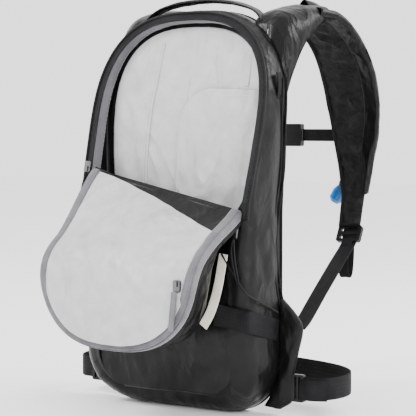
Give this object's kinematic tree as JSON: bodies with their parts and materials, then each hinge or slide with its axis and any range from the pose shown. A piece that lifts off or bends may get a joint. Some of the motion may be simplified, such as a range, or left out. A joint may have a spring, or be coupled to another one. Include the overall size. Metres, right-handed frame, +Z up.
{
  "type": "hydration backpack",
  "caption": "Slim padded backpack with a fold-down zipped front flap, water reservoir, drinking hose and bite valve, shoulder straps with sternum strap, and a webbing waist belt.",
  "frame": {"origin": "centre of the flat rear face that rests on the wearer's back", "axes": "+Z up towards the haul handle, +Y out of the rear face towards the wearer, -Y through the front flap, +X towards the wearer's right-hand side strap, which carries the hose"},
  "size_m": [0.3668, 0.3696, 0.4731],
  "materials": {
    "shell_fabric": "coated woven nylon, slight sheen",
    "pale_lining": "smooth light grey lining",
    "grey_binding": "woven grosgrain binding",
    "zip_tape": "coated coil zip tape",
    "webbing": "ribbed woven webbing",
    "cream_webbing": "ribbed woven webbing, undyed",
    "foam": "foam padding faced with air mesh",
    "mesh": "open air mesh",
    "sheet_plastic": "smooth sheet",
    "clear_film": "flexible translucent film",
    "black_plastic": "moulded acetal, fine texture",
    "hose_rubber": "smooth flexible tube",
    "blue_silicone": "soft satin silicone",
    "zip_metal": "die-cast zip slider",
    "cord": "braided elastic cord and tape"
  },
  "bodies": {
    "pack": {"top_panel": "shell_fabric", "side_panel_right": "shell_fabric", "side_panel_left": "shell_fabric", "bottom_panel": "shell_fabric", "lower_front_panel": "shell_fabric", "opening_zip_tape": "zip_tape", "opening_binding": "grey_binding", "inner_lip": "shell_fabric", "back_pad": "foam", "frame_sheet": "sheet_plastic", "compartment_lining": "pale_lining", "reservoir_bag": "clear_film", "reservoir_hanger": "black_plastic", "reservoir_fittings": "black_plastic", "hose_in_pack": "hose_rubber", "side_bands": "webbing", "carry_strap": "cream_webbing", "side_cord": "cord", "yokes": "foam", "belt_wings": "shell_fabric", "belt_locks": "black_plastic"},
    "flap_base": {"flap_shell_lower": "shell_fabric", "flap_lining_lower": "pale_lining", "flap_trim_lower": "grey_binding"},
    "flap_tip": {"flap_shell_upper": "shell_fabric", "flap_lining_upper": "pale_lining", "flap_trim_upper": "grey_binding"},
    "pocket_slider": {"pocket_slider": "zip_metal"},
    "pocket_pull": {"pocket_pull": "grey_binding"},
    "zip_slider_right": {"zip_slider_right": "zip_metal"},
    "zip_pull_right": {"zip_pull_right": "cord"},
    "zip_slider_left": {"zip_slider_left": "zip_metal"},
    "zip_pull_left": {"zip_pull_left": "cord"},
    "haul_handle": {"haul_handle": "webbing"},
    "strap_right": {"shoulder_pad_right": "foam", "strap_trims_right": "webbing", "ladder_lock_right": "black_plastic", "lower_webbing_right": "webbing", "hose_sleeve": "mesh", "hose_in_strap": "hose_rubber", "shutoff_body": "black_plastic"},
    "strap_left": {"shoulder_pad_left": "foam", "strap_trims_left": "webbing", "ladder_lock_left": "black_plastic", "lower_webbing_left": "webbing"},
    "chest_right": {"chest_slider_right": "black_plastic", "chest_webbing_right": "webbing", "chest_buckle_female": "black_plastic"},
    "chest_left": {"chest_slider_left": "black_plastic"},
    "chest_male": {"chest_webbing_left": "webbing", "chest_buckle_male": "black_plastic"},
    "bite_valve": {"bite_valve": "blue_silicone"},
    "shutoff_lever": {"shutoff_lever": "black_plastic"},
    "belt_right": {"belt_webbing_right": "webbing", "belt_buckle_female": "black_plastic"},
    "belt_left": {"belt_webbing_left": "webbing", "belt_buckle_male": "black_plastic"},
    "reservoir_cap": {"reservoir_cap": "black_plastic"},
    "carry_hook": {"carry_hook": "black_plastic"}
  },
  "joints": [
    {"name": "flap_hinge", "type": "hinge", "parent": "pack", "child": "flap_base", "pos_m": [0, -0.07, 0.012], "axis": [-1, 0, 0], "range_deg": [0, 140]},
    {"name": "flap_knee", "type": "hinge", "parent": "flap_base", "child": "flap_tip", "pos_m": [0, -0.15998, -0.05097], "axis": [-1, 0, 0], "range_deg": [0, 53.5]},
    {"name": "pocket_slider_travel", "type": "slide", "parent": "flap_tip", "child": "pocket_slider", "axis": [0, 0.0209, 0.9998], "range_m": [0, 0.012]},
    {"name": "pocket_pull_swing", "type": "hinge", "parent": "pocket_slider", "child": "pocket_pull", "pos_m": [0.086, -0.1664, -0.079], "axis": [-1, 0, 0], "range_deg": [0, 5]},
    {"name": "zip_slider_right_travel", "type": "slide", "parent": "pack", "child": "zip_slider_right", "axis": [-0.1191, -0.0397, -0.9921], "range_m": [0, 0.014]},
    {"name": "zip_pull_right_swing", "type": "hinge", "parent": "zip_slider_right", "child": "zip_pull_right", "pos_m": [0.1027, -0.0812, -0.028], "axis": [-1, 0, 0], "range_deg": [0, 12]},
    {"name": "zip_slider_left_travel", "type": "slide", "parent": "pack", "child": "zip_slider_left", "axis": [0, 0.2425, 0.9701], "range_m": [0, 0.04]},
    {"name": "zip_pull_left_swing", "type": "hinge", "parent": "zip_slider_left", "child": "zip_pull_left", "pos_m": [-0.1155, -0.0674, 0.042], "axis": [-1, 0, 0], "range_deg": [0, 60]},
    {"name": "haul_handle_tilt", "type": "hinge", "parent": "pack", "child": "haul_handle", "pos_m": [0, 0.011, 0.2086], "axis": [1, 0, 0], "range_deg": [-20, 8]},
    {"name": "strap_right_swing", "type": "hinge", "parent": "pack", "child": "strap_right", "pos_m": [0.086, 0.045, 0.219], "axis": [0.1409, -0.1155, -0.9833], "range_deg": [0, 20]},
    {"name": "strap_left_swing", "type": "hinge", "parent": "pack", "child": "strap_left", "pos_m": [-0.086, 0.045, 0.219], "axis": [0.1409, 0.1155, 0.9833], "range_deg": [0, 20]},
    {"name": "chest_height_right", "type": "slide", "parent": "strap_right", "child": "chest_right", "axis": [0, -0.104, 0.9946], "range_m": [-0.012, 0.024]},
    {"name": "chest_height_left", "type": "slide", "parent": "strap_left", "child": "chest_left", "axis": [0, -0.104, 0.9946], "range_m": [-0.012, 0.024]},
    {"name": "chest_release", "type": "slide", "parent": "chest_right", "child": "chest_male", "axis": [-1, 0, 0], "range_m": [0, 0.02]},
    {"name": "bite_valve_twist", "type": "hinge", "parent": "strap_right", "child": "bite_valve", "pos_m": [0.0912, 0.1902, 0.034], "axis": [-0.4671, -0.167, -0.8683], "range_deg": [-90, 90]},
    {"name": "shutoff_turn", "type": "hinge", "parent": "strap_right", "child": "shutoff_lever", "pos_m": [0.08793, 0.1902, 0.02792], "axis": [0, 1, 0], "range_deg": [0, 90]},
    {"name": "belt_lift", "type": "hinge", "parent": "pack", "child": "belt_right", "pos_m": [0, -0.009, -0.198], "axis": [1, 0, 0], "range_deg": [-25, 40]},
    {"name": "belt_release", "type": "slide", "parent": "belt_right", "child": "belt_left", "axis": [-1, 0, 0], "range_m": [0, 0.022]},
    {"name": "reservoir_cap_turn", "type": "hinge", "parent": "pack", "child": "reservoir_cap", "pos_m": [0, -0.018, 0.084], "axis": [0, 1, 0], "continuous": true},
    {"name": "carry_hook_tilt", "type": "hinge", "parent": "pack", "child": "carry_hook", "pos_m": [0.095, -0.076, -0.066], "axis": [0, -1, 0], "range_deg": [-12, 12]}
  ],
  "couplings": [
    {"joint": "flap_knee", "follows": "flap_hinge", "ratio": 0.3768},
    {"joint": "chest_height_left", "follows": "chest_height_right", "ratio": 1}
  ]
}
